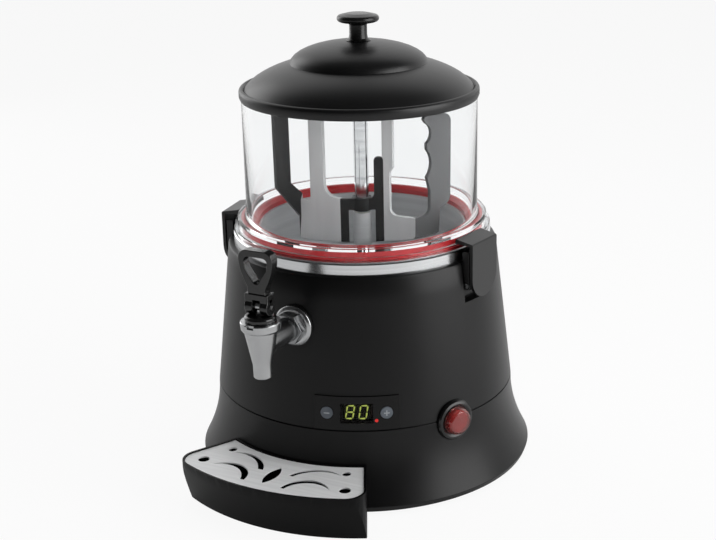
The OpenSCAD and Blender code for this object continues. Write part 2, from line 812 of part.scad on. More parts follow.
module switch_bezel() {
  color("#101011") at_az(switch_az)
    translate([0, 0, switch_z]) rotate([90, 0, 0]) rotate_extrude() polygon([
      [switch_in_r + run_gap, bezel_out_r - 14],
      [bezel_r - 2, bezel_out_r - 14],
      [bezel_r, bezel_out_r - 12],
      [bezel_r, bezel_out_r - 2.2],
      [bezel_r - 1, bezel_out_r - 0.6],
      [bezel_r - 3, bezel_out_r],
      [switch_in_r + run_gap, bezel_out_r - 0.8],
    ]);
}

module switch_body() {
  color("#2c2c2e") at_az(switch_az) difference() {
    union() {
      radial_rod(switch_in_r, bezel_out_r - 34, switch_face_r, switch_z);
      for (s = [-1, 1]) radial_block(s * 6 - 3, s * 6 + 3, bezel_out_r - 42, bezel_out_r - 33,
        switch_z - 0.5, switch_z + 0.5);
    }
    radial_rod(rocker_r + 0.5, switch_face_r - 6, switch_face_r + 5, switch_z);
    translate([0, -switch_face_r + 2.5, switch_z]) rotate([0, 90, 0])
      cylinder(h = 2 * switch_in_r - 1.6, r = rocker_pin_r + run_gap, center = true, $fn = 32);
  }
}

module switch_rocker() {
  color("#c01822", 0.85) at_az(switch_az) {
    radial_rod(rocker_r, switch_face_r - 3, switch_face_r + 2.2, switch_z);
    translate([0, -switch_face_r + 2.5, switch_z]) rotate([0, 90, 0])
      cylinder(h = 2 * switch_in_r - 2.6, r = rocker_pin_r, center = true, $fn = 32);
  }
}

module switch_cap() {
  color("#f2f2f2", 0.35) at_az(switch_az)
    translate([0, 0, switch_z]) rotate([90, 0, 0]) rotate_extrude() polygon([
      [switch_in_r - 1.2, switch_face_r],
      [switch_in_r, switch_face_r],
      [switch_in_r - 0.6, switch_face_r + 3],
      [rocker_r + 0.6, cap_out_r - 1],
      [rocker_r - 0.6, cap_out_r],
      [0, cap_out_r + 0.3],
      [0, cap_out_r - 0.8],
      [rocker_r - 0.8, cap_out_r - 1.1],
      [switch_in_r - 1.7, switch_face_r + 3],
    ]);
}

// ---- Tap ----

wall_plate_r = body_r(tap_z);
seal_t = 1.5;
boss_back_r = wall_plate_r - 6.5;
plate_back_r = wall_plate_r + seal_t;
plate_front_r = plate_back_r + 3.2;
nut_front_r = plate_front_r + 8;

module tap_escutcheon() {
  color("#c3c6c9") translate([0, 0, tap_z]) rotate([90, 0, 0]) rotate_extrude() polygon([
    [arm_r + run_gap, plate_back_r],
    [escutcheon_r - 2.6, plate_back_r],
    [escutcheon_r - 2.6, wall_plate_r],
    [escutcheon_r, wall_plate_r],
    [escutcheon_r, plate_back_r + 1.4],
    [escutcheon_r - 2, plate_back_r + 2.8],
    [escutcheon_r - 4, plate_front_r],
    [arm_r + run_gap, plate_front_r],
  ]);
}

module tap_seal() {
  color("#2a2a2a") radial_tube(escutcheon_r - 3, arm_r + run_gap, wall_plate_r, plate_back_r);
}

// A tube along the front radius at the tap's height
module radial_tube(r_out, r_in, r0, r1, fn = 96) {
  difference() {
    radial_rod(r_out, r0, r1, tap_z, 0, fn);
    radial_rod(r_in, r0 - 1, r1 + 1, tap_z);
  }
}

module tap_nut() {
  color("#6c6f72") radial_tube(14, arm_r + run_gap, plate_front_r, nut_front_r, 6);
}

module tap_lock_nut() {
  color("#8a8d90") radial_tube(15, shank_r + run_gap, boss_back_r - 6, boss_back_r, 6);
}

module tap_body() {
  color("#c6c9cc") difference() {
    union() {
      translate([0, -tap_out, 0]) rotate_extrude() polygon([
        [0, cone_low_z],
        [cone_low_r - 0.6, cone_low_z],
        [cone_low_r, cone_low_z + 0.8],
        [cone_low_r + 0.2, cone_low_z + tip_h],
        [cone_top_r, cone_top_z - collar_drop],
        [tap_flange_r - 1.6, cone_top_z - collar_drop],
        [tap_flange_r - 0.5, cone_top_z - collar_drop + 1.6],
        [tap_flange_r, bonnet_z - 0.8],
        [tap_flange_r - 0.6, bonnet_z],
        [0, bonnet_z],
      ]);
      radial_rod(arm_r, boss_back_r + 0.5, tap_out, tap_z);
      radial_rod(shank_r, bowl_r - sheet, tap_out, tap_z);
    }
    translate([0, -tap_out, seat_z]) cylinder(h = 60, r = chamber_r);
    translate([0, -tap_out, 0]) cylinder(h = 200, r = tap_bore_r);
    radial_rod(shank_bore_r, 0, tap_out, tap_z);
    // Notch at the front of the flange
    translate([-3, -tap_out - tap_flange_r - 1, cone_top_z + 0.8]) cube([6, 3.2, tap_flange_t]);
  }
}

module tap_bonnet() {
  color("#161617") translate([0, -tap_out, 0]) rotate_extrude() polygon([
    [stem_r + run_gap, bonnet_z - 6],
    [chamber_r - run_gap, bonnet_z - 6],
    [chamber_r - run_gap, bonnet_z],
    [13, bonnet_z],
    [13, bonnet_z + bonnet_h - 1.5],
    [11.5, bonnet_z + bonnet_h],
    [stem_r + run_gap, bonnet_z + bonnet_h],
  ]);
}

cup_h = 7;
module tap_stem() {
  eye_r = 4;
  color("#c6c9cc") difference() {
    union() {
      translate([0, -tap_out, seat_z + cup_h - 3]) cylinder(h = tap_pivot_z - seat_z - cup_h + 3, r = stem_r);
      translate([-stem_r, -tap_out, tap_pivot_z]) rotate([0, 90, 0]) cylinder(h = 2 * stem_r, r = eye_r, $fn = 48);
    }
    translate([-10, -tap_out, tap_pivot_z]) rotate([0, 90, 0]) cylinder(h = 20, r = tap_pin_r, $fn = 48);
  }
}

module tap_seat_cup() {
  color("#efece4") translate([0, -tap_out, 0]) rotate_extrude() polygon([
    [0, seat_z],
    [chamber_r - 1.6, seat_z],
    [chamber_r - 1, seat_z + 2],
    [stem_r + 2, seat_z + cup_h],
    [stem_r, seat_z + cup_h],
    [stem_r, seat_z + cup_h - 3],
    [0, seat_z + cup_h - 3],
  ]);
}

fork_w = 21;
fork_gap = 2 * stem_r + 0.8;
module tap_pin() {
  color("#d5d8da") translate([-fork_w / 2 - 0.4, -tap_out, tap_pivot_z]) rotate([0, 90, 0])
    cylinder(h = fork_w + 0.8, r = tap_pin_r, $fn = 48);
}

// Outline of the handle in the X-Z plane, above the pivot at the origin
neck_w = 16;
ring_low = 16;           // height where the neck widens into the ring
ring_wall = 4.6;
module handle_outline() {
  top = ring_low + handle_ring_h;
  half = handle_w / 2;
  corner = 7;
  neck_z = 9;
  polygon(concat(
    [[-neck_w / 2, neck_z], [neck_w / 2, neck_z], [neck_w / 2, ring_low]],
    [[half * 0.72, ring_low + 6], [half * 0.92, ring_low + 14], [half, ring_low + 21]],
    arc(half - corner, top - corner, corner, 0, 90),
    arc(corner - half, top - corner, corner, 90, 180),
    [[-half, ring_low + 21], [-half * 0.92, ring_low + 14], [-half * 0.72, ring_low + 6]],
    [[-neck_w / 2, ring_low]]
  ));
}

// Drop-shaped finger hole of the ring
module handle_hole() {
  top = ring_low + handle_ring_h - ring_wall - 0.8;
  half = handle_w / 2 - ring_wall;
  corner = 4.5;
  tip_r = 3;
  polygon(concat(
    arc(half - corner, top - corner, corner, 0, 90),
    arc(corner - half, top - corner, corner, 90, 180),
    [[-half * 0.88, ring_low + 15]],
    arc(0, ring_low + 6.5, tip_r, 205, 335),
    [[half * 0.88, ring_low + 15]]
  ));
}

fork_r = 7;
handle_t = 9;
module tap_handle() {
  color("#151516") translate([0, -tap_out, tap_pivot_z]) difference() {
    union() {
      translate([0, handle_t / 2, 0]) rotate([90, 0, 0]) linear_extrude(handle_t) handle_outline();
      rotate([0, 90, 0]) cylinder(h = fork_w, r = fork_r, center = true);
      translate([-fork_w / 2, -handle_t / 2 - 1, 0]) cube([fork_w, handle_t + 2, 11]);
    }
    translate([0, handle_t, 0]) rotate([90, 0, 0]) linear_extrude(2 * handle_t) handle_hole();
    translate([-fork_gap / 2, -20, -20]) cube([fork_gap, 40, 26]);
    rotate([0, 90, 0]) cylinder(h = 60, r = tap_pin_r + run_gap, center = true, $fn = 48);
  }
}

// ---- Latches, drawn for azimuth 0 ----

module latch_bracket() {
  x = latch_tan - 0.5;
  cheek_out = latch_pin_rho + 2.5;
  cheek_top = hook_low_z - 6;
  color("#18181a") difference() {
    union() {
      radial_block(-x, x, pocket_r, pocket_r + bracket_t, latch_low_z + 1, top_z - 1);
      for (s = [-1, 1]) translate([s * (x - cheek_t / 2), 0, 0]) {
        radial_block(-cheek_t / 2, cheek_t / 2, pocket_r + bracket_t - 1, latch_pin_rho,
          latch_pin_z - 3.4, top_z - 1);
        radial_block(-cheek_t / 2, cheek_t / 2, latch_pin_rho - 4, cheek_out, latch_pin_z, cheek_top);
        translate([-cheek_t / 2, -latch_pin_rho, latch_pin_z]) rotate([0, 90, 0])
          cylinder(h = cheek_t, r = 3.4, $fn = 48);
      }
    }
    translate([0, -latch_pin_rho, latch_pin_z]) rotate([0, 90, 0])
      cylinder(h = 60, r = pin_r, center = true, $fn = 48);
  }
}

module latch_pin() {
  color("#d5d8da") translate([0, -latch_pin_rho, latch_pin_z]) rotate([0, 90, 0])
    cylinder(h = latch_w - 1, r = pin_r, center = true, $fn = 48);
}

module latch() {
  inner_x = latch_tan - 0.5 - cheek_t - fit_gap;
  face_top_z = hook_low_z + 0.6;
  color("#17171a") difference() {
    union() {
      // Front cover with its round lower end
      radial_block(-latch_tan, latch_tan, latch_in_r, latch_out_r, latch_round_z, face_top_z);
      radial_rod(latch_tan, latch_in_r, latch_out_r, latch_round_z);
      // Hook over the jar's flange, with its top sloping outwards
      translate([-latch_tan, 0, 0]) rotate([90, 0, 90]) linear_extrude(latch_w) polygon([
        [-hook_tip_r, hook_low_z],
        [-latch_out_r, hook_low_z],
        [-latch_out_r, hook_low_z + 0.8],
        [-latch_out_r + 1, hook_low_z + 1.8],
        [-hook_tip_r - 1, hook_low_z + 4.4],
        [-hook_tip_r, hook_low_z + 3.6],
      ]);
      // Boss on the hinge pin
      translate([0, -latch_pin_rho, latch_pin_z]) rotate([0, 90, 0])
        cylinder(h = 2 * inner_x, r = 4.2, center = true, $fn = 48);
      radial_block(-inner_x, inner_x, latch_pin_rho, latch_in_r + 0.5, latch_pin_z - 3, latch_pin_z + 4);
    }
    translate([0, -latch_pin_rho, latch_pin_z]) rotate([0, 90, 0])
      cylinder(h = 60, r = pin_r + run_gap, center = true, $fn = 48);
  }
}

module latch_bracket_left() { at_az(-latch_az) latch_bracket(); }
module latch_pin_left() { at_az(-latch_az) latch_pin(); }
module latch_left() { at_az(-latch_az) latch(); }
module latch_bracket_right() { at_az(latch_az) latch_bracket(); }
module latch_pin_right() { at_az(latch_az) latch_pin(); }
module latch_right() { at_az(latch_az) latch(); }

// ---- Drip tray ----

// Plan of the tray: a sector about the jar's axis, drawn in by d, with round outer corners
module tray_plan(d) {
  r = tray_r - d;
  c = max(1, tray_corner_r - d);
  half = tray_arc / 2;
  // Angle of a corner circle's centre, so that the circle touches the side and the front
  turn = half - asin((c + d) / (r - c));
  steps = 6;
  edge_r = seam_r - 6;
  side_shift = d / cos(half);
  polygon(concat(
    [[-edge_r * sin(half) + side_shift, -edge_r * cos(half)]],
    [for (i = [0 : steps]) let (b = -turn + (i - steps) * (90 / steps))
      [(r - c) * sin(-turn) + c * sin(b), -(r - c) * cos(turn) - c * cos(b)]],
    [for (i = [1 : 11]) let (a = -turn + 2 * turn * i / 12) [r * sin(a), -r * cos(a)]],
    [for (i = [0 : steps]) let (b = turn + i * (90 / steps))
      [(r - c) * sin(turn) + c * sin(b), -(r - c) * cos(turn) - c * cos(b)]],
    [[edge_r * sin(half) - side_shift, -edge_r * cos(half)]]
  ));
}

// Radial section of the tray between heights z0 and z1, drawn in by d
module tray_section(z0, z1, d) {
  function front(z) = tray_low_r + (tray_r - tray_low_r) * z / tray_h - d;
  rotate_extrude($fn = 180) polygon(concat(
    [[front(z0), z0], [front(z1), z1]],
    reversed([for (i = [0 : base_steps]) let (z = z0 + (z1 - z0) * i / base_steps)
      [max(body_r(max(z, rim_z)), z < rim_z ? base_r : 0) + tray_gap + d, z]])
  ));
}

module tray_block(z0, z1, d) {
  intersection() {
    translate([0, 0, z0]) linear_extrude(z1 - z0) tray_plan(d);
    tray_section(z0, z1, d);
  }
}

module drip_tray() {
  color("#161617") {
    difference() {
      tray_block(0, tray_h, 0);
      tray_block(tray_wall, grille_z - 2, tray_wall);
      tray_block(grille_z - 2.01, grille_z, tray_wall + 2);
      tray_block(grille_z - 0.01, tray_h + 0.01, tray_wall - 0.6);
    }
    for (s = [-1, 1]) translate([s * tab_x, 0, 0])
      radial_block(-tab_w / 2, tab_w / 2, body_r(tab_z) - 16, body_r(tab_z) - 2, tab_z, tab_z + tab_h);
  }
}

leaf_r = 24;             // radius of the two arcs that bound the leaf-shaped hole
leaf_w = 11;
module drip_grille() {
  color("#c9ccd0") difference() {
    tray_block(grille_z, grille_z + grille_t, tray_wall - 0.3);
    for (s = [-1, 1]) {
      at_az(s * 22) translate([0, -183, 0]) cylinder(h = 100, r = 5, $fn = 48);
      at_az(s * 21.3) translate([0, -154, 0]) cylinder(h = 100, r = 3.8, $fn = 48);
    }
    for (m = [0, 1]) mirror([m, 0, 0]) {
      wave_slot([38.8, -187], 21.8, 42, 6, -188);
      wave_slot([40.5, -175], 30, 66, 5, -166);
    }
    translate([0, -171, 0]) linear_extrude(100) intersection() {
      translate([leaf_r - leaf_w / 2, 0]) circle(r = leaf_r);
      translate([leaf_w / 2 - leaf_r, 0]) circle(r = leaf_r);
    }
  }
}

// A curved slot about centre c, thin at the angle tail and thicker on, down to the line y = low_y
module wave_slot(c, r, tail, t, low_y) {
  linear_extrude(100) intersection() {
    difference() {
      translate(c) circle(r = r);
      translate([c[0] - t * cos(tail + 90), c[1] - t * sin(tail + 90)]) circle(r = r);
    }
    translate([c[0] - r - 1, low_y]) square([2 * r + 2, 2 * r]);
  }
}

// ---- Cable inlet ----

gland_z = 34;
gland_r = 7;
module cable_gland() {
  face = body_r(gland_z - 10.5);
  color("#1b1b1c") at_az(180) difference() {
    union() {
      radial_rod(gland_r, face - 14, face + 1, gland_z);
      radial_rod(10, face + 0.1, face + 3.5, gland_z, 0, 6);
      radial_rod(8, face + 3.4, face + 6, gland_z);
      radial_rod(10.5, body_r(gland_z + 9) - wall - 6, body_r(gland_z + 9) - wall - 1, gland_z, 0, 6);
    }
    radial_rod(3.6, face - 20, face + 20, gland_z);
  }
}

upper_shell();
base_shell();
base_plate();
rubber_feet();
base_screws();
water_pan();
pan_grommet();
product_bowl();
column_bush();
jar_gasket();
jar();
heating_element();
bowl_probe();
safety_thermostat();
motor_bracket();
gearbox();
motor_can();
motor_screws();
drive_shaft();
stirrer();
shaft_tube();
tube_cap();
lid();
lid_knob();
lid_screw();
panel_frame();
display_window();
display_module();
control_board();
button_down();
button_up();
status_led();
switch_bezel();
switch_body();
switch_rocker();
switch_cap();
tap_body();
tap_escutcheon();
tap_seal();
tap_nut();
tap_lock_nut();
tap_bonnet();
tap_stem();
tap_seat_cup();
tap_pin();
tap_handle();
latch_bracket_left();
latch_pin_left();
latch_left();
latch_bracket_right();
latch_pin_right();
latch_right();
drip_tray();
drip_grille();
cable_gland();
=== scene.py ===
import math
import bmesh
import bpy
from mathutils import Matrix, Vector


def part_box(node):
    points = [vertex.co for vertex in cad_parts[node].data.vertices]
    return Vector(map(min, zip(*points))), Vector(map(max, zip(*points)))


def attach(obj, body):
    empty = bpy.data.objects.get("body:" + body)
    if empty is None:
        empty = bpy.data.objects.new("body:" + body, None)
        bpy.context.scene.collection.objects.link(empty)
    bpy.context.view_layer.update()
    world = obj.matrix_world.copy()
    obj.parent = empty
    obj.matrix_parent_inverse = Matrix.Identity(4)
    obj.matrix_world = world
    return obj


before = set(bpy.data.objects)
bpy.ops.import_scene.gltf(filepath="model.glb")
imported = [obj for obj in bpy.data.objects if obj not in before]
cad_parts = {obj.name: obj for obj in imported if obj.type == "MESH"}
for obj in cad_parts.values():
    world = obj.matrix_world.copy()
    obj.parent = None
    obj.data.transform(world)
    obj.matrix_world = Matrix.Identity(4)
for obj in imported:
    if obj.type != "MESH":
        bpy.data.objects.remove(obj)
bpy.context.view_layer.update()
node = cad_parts

# ---- Upper shell ----
# The tapered body is one satin black moulding that drops over the base's tongue. It carries the pan, the
# latches, the tap and the display. Its skin is finely grained, so lights lie on it as soft bands.


def surface(name, low, high, rough, grain=60.0, stretch=(1, 1, 1), bump=0.02, bump_scale=900.0, metal=0.0,
            coat=0.0, clear=0.0, ior=1.5, spread=0.06, shine=0.5):
    """A material whose colour wanders between low and high, with uneven roughness and a fine relief."""
    relief_depth = 0.0004
    coat_rough = 0.08
    skin = bpy.data.materials.new(name)
    skin.use_nodes = True
    nodes, link = skin.node_tree.nodes, skin.node_tree.links.new
    shader = nodes["Principled BSDF"]
    place = nodes.new("ShaderNodeTexCoord")
    shape = nodes.new("ShaderNodeMapping")
    shape.inputs["Scale"].default_value = stretch
    link(place.outputs["Object"], shape.inputs["Vector"])
    cloud = nodes.new("ShaderNodeTexNoise")
    cloud.inputs["Scale"].default_value = grain
    cloud.inputs["Detail"].default_value = 6
    link(shape.outputs["Vector"], cloud.inputs["Vector"])
    ramp = nodes.new("ShaderNodeValToRGB")
    for stop, position, colour in zip(ramp.color_ramp.elements, (0.3, 0.7), (low, high)):
        stop.position = position
        stop.color = (*colour, 1)
    link(cloud.outputs["Fac"], ramp.inputs["Fac"])
    link(ramp.outputs["Color"], shader.inputs["Base Color"])
    span = nodes.new("ShaderNodeMapRange")
    span.inputs["To Min"].default_value = max(0.0, rough - spread)
    span.inputs["To Max"].default_value = rough + spread
    link(cloud.outputs["Fac"], span.inputs["Value"])
    link(span.outputs["Result"], shader.inputs["Roughness"])
    fine = nodes.new("ShaderNodeTexNoise")
    fine.inputs["Scale"].default_value = bump_scale
    fine.inputs["Detail"].default_value = 3
    link(shape.outputs["Vector"], fine.inputs["Vector"])
    relief = nodes.new("ShaderNodeBump")
    relief.inputs["Strength"].default_value = bump
    relief.inputs["Distance"].default_value = relief_depth
    link(fine.outputs["Fac"], relief.inputs["Height"])
    link(relief.outputs["Normal"], shader.inputs["Normal"])
    shader.inputs["Metallic"].default_value = metal
    shader.inputs["Coat Weight"].default_value = coat
    shader.inputs["Coat Roughness"].default_value = coat_rough
    shader.inputs["Transmission Weight"].default_value = clear
    shader.inputs["IOR"].default_value = ior
    shader.inputs["Specular IOR Level"].default_value = shine
    return skin


def dress(material, *names):
    """Gives the CAD nodes of these names the material."""
    for name in names:
        node[name].data.materials.clear()
        node[name].data.materials.append(material)


crease_angle = math.radians(28)
same_point = 0.00001
joined = bpy.data.node_groups.new("joined_faces", "GeometryNodeTree")
joined.interface.new_socket("Geometry", in_out="INPUT", socket_type="NodeSocketGeometry")
joined.interface.new_socket("Geometry", in_out="OUTPUT", socket_type="NodeSocketGeometry")
new_step, join = joined.nodes.new, joined.links.new
group_in, group_out = new_step("NodeGroupInput"), new_step("NodeGroupOutput")
merge = new_step("GeometryNodeMergeByDistance")
merge.inputs["Distance"].default_value = same_point
drop_normals = new_step("GeometryNodeRemoveAttribute")
drop_normals.inputs["Name"].default_value = "custom_normal"
smooth_faces = new_step("GeometryNodeSetShadeSmooth")
smooth_edges = new_step("GeometryNodeSetShadeSmooth")
smooth_edges.domain = "EDGE"
edge_angle = new_step("GeometryNodeInputMeshEdgeAngle")
gentle = new_step("FunctionNodeCompare")
gentle.data_type = "FLOAT"
gentle.operation = "LESS_THAN"
gentle.inputs[1].default_value = crease_angle
join(group_in.outputs[0], merge.inputs["Geometry"])
join(merge.outputs["Geometry"], drop_normals.inputs["Geometry"])
join(drop_normals.outputs["Geometry"], smooth_faces.inputs["Geometry"])
join(smooth_faces.outputs["Geometry"], smooth_edges.inputs["Geometry"])
join(edge_angle.outputs["Unsigned Angle"], gentle.inputs[0])
join(gentle.outputs["Result"], smooth_edges.inputs["Shade Smooth"])
join(smooth_edges.outputs["Geometry"], group_out.inputs[0])


def soften(edge, *names):
    """Shades gentle bends as one skin, and rounds the sharp edges of these nodes if a width is given."""
    for name in names:
        node[name].modifiers.new("joined", "NODES").node_group = joined
        if edge > 0:
            rounding = node[name].modifiers.new("rounding", "BEVEL")
            rounding.width = edge
            rounding.segments = 3
            rounding.limit_method = "ANGLE"
            rounding.angle_limit = crease_angle


satin_black = surface("satin_black", (0.0032, 0.0032, 0.0034), (0.0046, 0.0046, 0.0048), 0.36, grain=14,
                      bump=0.10, bump_scale=1500, shine=0.27)
dress(satin_black, "upper_shell")
soften(0.0004, "upper_shell")

# ---- Base shell ----
# The flared foot is a second black moulding. Its rim nearly reaches the counter, and a groove under the upper
# shell marks the joint. It is a little smoother than the upper shell.
base_black = surface("base_black", (0.0032, 0.0032, 0.0034), (0.0048, 0.0048, 0.0050), 0.34, grain=11,
                     bump=0.10, bump_scale=1400, shine=0.26)
dress(base_black, "base_shell")
soften(0.0012, "base_shell")

# ---- Rubber feet, base plate and its screws ----
# Four moulded rubber feet carry the machine. The pressed and plated base plate closes it from below and is held
# by four pan-head screws. The grommet of the pan and the seal of the tap are of the same rubber.
foot_rubber = surface("foot_rubber", (0.012, 0.012, 0.012), (0.022, 0.022, 0.022), 0.8, grain=120, bump=0.4,
                      bump_scale=700)
plated = surface("plated_steel", (0.42, 0.43, 0.44), (0.60, 0.61, 0.62), 0.34, grain=40, stretch=(1, 6, 1),
                 bump=0.08, bump_scale=300, metal=1.0)
dress(foot_rubber, "rubber_feet", "pan_grommet", "tap_seal")
dress(plated, "base_plate", "base_screws")
soften(0.0005, "rubber_feet", "base_screws")

# ---- Water pan ----
# Spun stainless pan that holds the water bath. Only its rolled rim shows, as a bright ring on the black body,
# with turning marks that run round it.
ring_steel = surface("ring_steel", (0.60, 0.61, 0.62), (0.74, 0.75, 0.76), 0.20, grain=9,
                     stretch=(1, 1, 60), bump=0.05, bump_scale=40, metal=1.0)
dress(ring_steel, "water_pan")
soften(0.0, "water_pan")

# ---- Product bowl ----
# Stainless bowl that the drink stands in, with the fixed centre column for the shaft. Its inside is satin, with
# faint marks that run round it.
bowl_steel = surface("bowl_steel", (0.60, 0.61, 0.62), (0.74, 0.75, 0.76), 0.34, grain=7,
                     stretch=(1, 1, 30), bump=0.04, bump_scale=60, metal=0.45)
dress(bowl_steel, "product_bowl")
soften(0.0, "product_bowl")

# ---- Gasket ----
# Red silicone ring between bowl and jar. It is slightly waxy, and the jar presses on it. Its skin is drawn in
# by a tenth of a millimetre, so that it doesn't lie in one plane with the foot of the jar.
silicone = surface("red_silicone", (0.42, 0.012, 0.016), (0.56, 0.022, 0.028), 0.38, grain=50, bump=0.10,
                   bump_scale=500)
silicone_shader = silicone.node_tree.nodes["Principled BSDF"]
silicone_shader.inputs["Subsurface Weight"].default_value = 0.15
silicone_shader.inputs["Subsurface Radius"].default_value = (0.004, 0.001, 0.001)
dress(silicone, "jar_gasket")
soften(0.0, "jar_gasket")
gasket_clearance = 0.0001
under_jar = node["jar_gasket"].modifiers.new("under_jar", "DISPLACE")
under_jar.mid_level = 0
under_jar.strength = -gasket_clearance

# ---- Jar ----
# Clear moulded jar without a bottom. Its wall is 3 mm, and the thicker flange at its foot bends the light into
# bright and red rings.
jar_clear = surface("jar_clear", (0.955, 0.965, 0.970), (0.985, 0.990, 0.992), 0.012, grain=6, bump=0.012,
                    bump_scale=25, clear=1.0, ior=1.20, spread=0.008)
dress(jar_clear, "jar")
soften(0.0, "jar")

# ---- Lid ----
# Two-tier lid moulded in satin black, with a rolled rim that drops over the jar's mouth. A soft crease runs
# round the upper tier.
lid_black = surface("gloss_black", (0.0035, 0.0035, 0.0037), (0.0050, 0.0050, 0.0052), 0.36, grain=10,
                    bump=0.03, bump_scale=90, spread=0.03, shine=0.42)
dress(lid_black, "lid")
soften(0.0, "lid")

# ---- Knob and its screw ----
# The mushroom knob is turned from black plastic and is glossier than the lid. A screw with a washer holds it
# from inside the lid.
knob_black = surface("knob_black", (0.004, 0.004, 0.004), (0.007, 0.007, 0.007), 0.26, grain=30,
                     stretch=(1, 1, 3), bump=0.02, bump_scale=200, spread=0.03, shine=0.4)
dress(knob_black, "lid_knob")
dress(plated, "lid_screw")
soften(0.0, "lid_knob")

# ---- Stirrer ----
# A folded zig-zag of upright plates with tall arms turns slowly about the bowl's column. Two plates and the
# scalloped arm are one satin sheet in two colours: the pale plates are painted light and the darker arm is
# painted shade, from the way each faces the lamps. The hub, its finger and the leading arm are black.
stirrer_black = surface("stirrer_black", (0.006, 0.006, 0.0063), (0.010, 0.010, 0.0103), 0.42, grain=60,
                        bump=0.12, bump_scale=900, shine=0.3)
dress(stirrer_black, "stirrer", "tube_cap")
# Painted light and painted shade: the same satin sheet as a pale lit copy and a dark shaded copy.
painted_light_sheet = surface("stirrer_sheet_painted_light", (0.60, 0.605, 0.61), (0.70, 0.705, 0.71), 0.46, grain=8,
                     stretch=(6, 6, 1), bump=0.05, bump_scale=120, metal=0.15)
painted_shade_sheet = surface("stirrer_comb_painted_shade", (0.085, 0.087, 0.09), (0.115, 0.117, 0.12), 0.46, grain=8,
                    stretch=(6, 6, 1), bump=0.05, bump_scale=120, metal=0.15)
stirrer_mesh = node["stirrer"].data
stirrer_mesh.materials.append(painted_light_sheet)
stirrer_mesh.materials.append(painted_shade_sheet)
painted_light_slot, painted_shade_slot = 1, 2
stirrer_az = math.radians(28)
left_plate = (-0.0555, -0.0195)
right_plate = (0.0208, 0.0472)
# Faces get the painted light tone or the painted shade tone by where they lie across the stirrer.
for face in stirrer_mesh.polygons:
    along = face.center.x * math.cos(stirrer_az) + face.center.y * math.sin(stirrer_az)
    if left_plate[0] < along < left_plate[1] or right_plate[0] < along < right_plate[1]:
        face.material_index = painted_light_slot
    elif along >= right_plate[1]:
        face.material_index = painted_shade_slot
soften(0.0006, "stirrer")
soften(0.0, "tube_cap")

# ---- Shaft, tube and bushes ----
# A polished tube covers the drive shaft above the stirrer's hub. Natural plastic bushes guide the shaft in the
# column.
tube_steel = surface("tube_steel", (0.58, 0.59, 0.60), (0.72, 0.73, 0.74), 0.09, grain=20,
                     stretch=(1, 1, 12), bump=0.03, bump_scale=150, metal=1.0)
natural = surface("natural_plastic", (0.72, 0.70, 0.64), (0.82, 0.80, 0.75), 0.5, grain=80, bump=0.1,
                  bump_scale=700)
dress(tube_steel, "drive_shaft", "shaft_tube")
dress(natural, "column_bush", "tap_seat_cup", "safety_thermostat")
soften(0.0, "drive_shaft", "shaft_tube")

# ---- Drive and heater, inside the base ----
# Die-cast gearbox, plated motor can and a folded bracket on four legs. The ring heater is a swaged tube that
# has gone dull and slightly blue from heat.
cast = surface("cast_housing", (0.30, 0.31, 0.32), (0.42, 0.43, 0.44), 0.5, grain=90, bump=0.5, bump_scale=500,
               metal=0.9)
heater_skin = surface("heater_skin", (0.20, 0.20, 0.23), (0.34, 0.33, 0.32), 0.45, grain=70, bump=0.2,
                      bump_scale=400, metal=0.9)
dress(cast, "gearbox")
dress(heater_skin, "heating_element")
dress(plated, "motor_can", "motor_bracket", "motor_screws", "bowl_probe", "tap_lock_nut")

# ---- Tap body, wall plate and nut ----
# The tap is turned stainless steel with a fine satin finish: a cone with a wide top flange, a round pipe
# through the body's wall, a pressed wall plate and a thin hexagon nut.
tap_steel = surface("tap_steel", (0.42, 0.425, 0.43), (0.48, 0.485, 0.49), 0.24, grain=25,
                    stretch=(3, 3, 1), bump=0.02, bump_scale=500, metal=1.0, spread=0.03)
nut_steel = surface("nut_steel", (0.22, 0.225, 0.23), (0.32, 0.325, 0.33), 0.26, grain=60, bump=0.06,
                    bump_scale=400, metal=1.0)
dress(tap_steel, "tap_body", "tap_escutcheon", "tap_stem", "tap_pin")
dress(nut_steel, "tap_nut")
soften(0.0005, "tap_body", "tap_escutcheon", "tap_nut")

# ---- Tap handle and bonnet ----
# The flat finger ring and its fork are moulded in gloss black, with well rounded edges. The bonnet under them
# closes the tap's chamber.
handle_black = surface("handle_black", (0.004, 0.004, 0.004), (0.007, 0.007, 0.007), 0.20, grain=40, bump=0.04,
                       bump_scale=300, coat=0.3, spread=0.04)
dress(handle_black, "tap_handle", "tap_bonnet")
soften(0.0018, "tap_handle")
soften(0.0005, "tap_bonnet")

# ---- Latches ----
# Two black side latches hook over the jar's flange. Each turns on a silver pin between the cheeks of a bracket
# that is let into the body.
latch_black = surface("latch_black", (0.006, 0.006, 0.0063), (0.010, 0.010, 0.0103), 0.34, grain=50, bump=0.10,
                      bump_scale=900)
bracket_black = surface("bracket_black", (0.004, 0.004, 0.0042), (0.007, 0.007, 0.0072), 0.36, grain=50,
                        bump=0.10, bump_scale=900)
dress(latch_black, "latch_left", "latch_right")
dress(bracket_black, "latch_bracket_left", "latch_bracket_right")
dress(tube_steel, "latch_pin_left", "latch_pin_right")
soften(0.0009, "latch_left", "latch_right")
soften(0.0005, "latch_bracket_left", "latch_bracket_right")

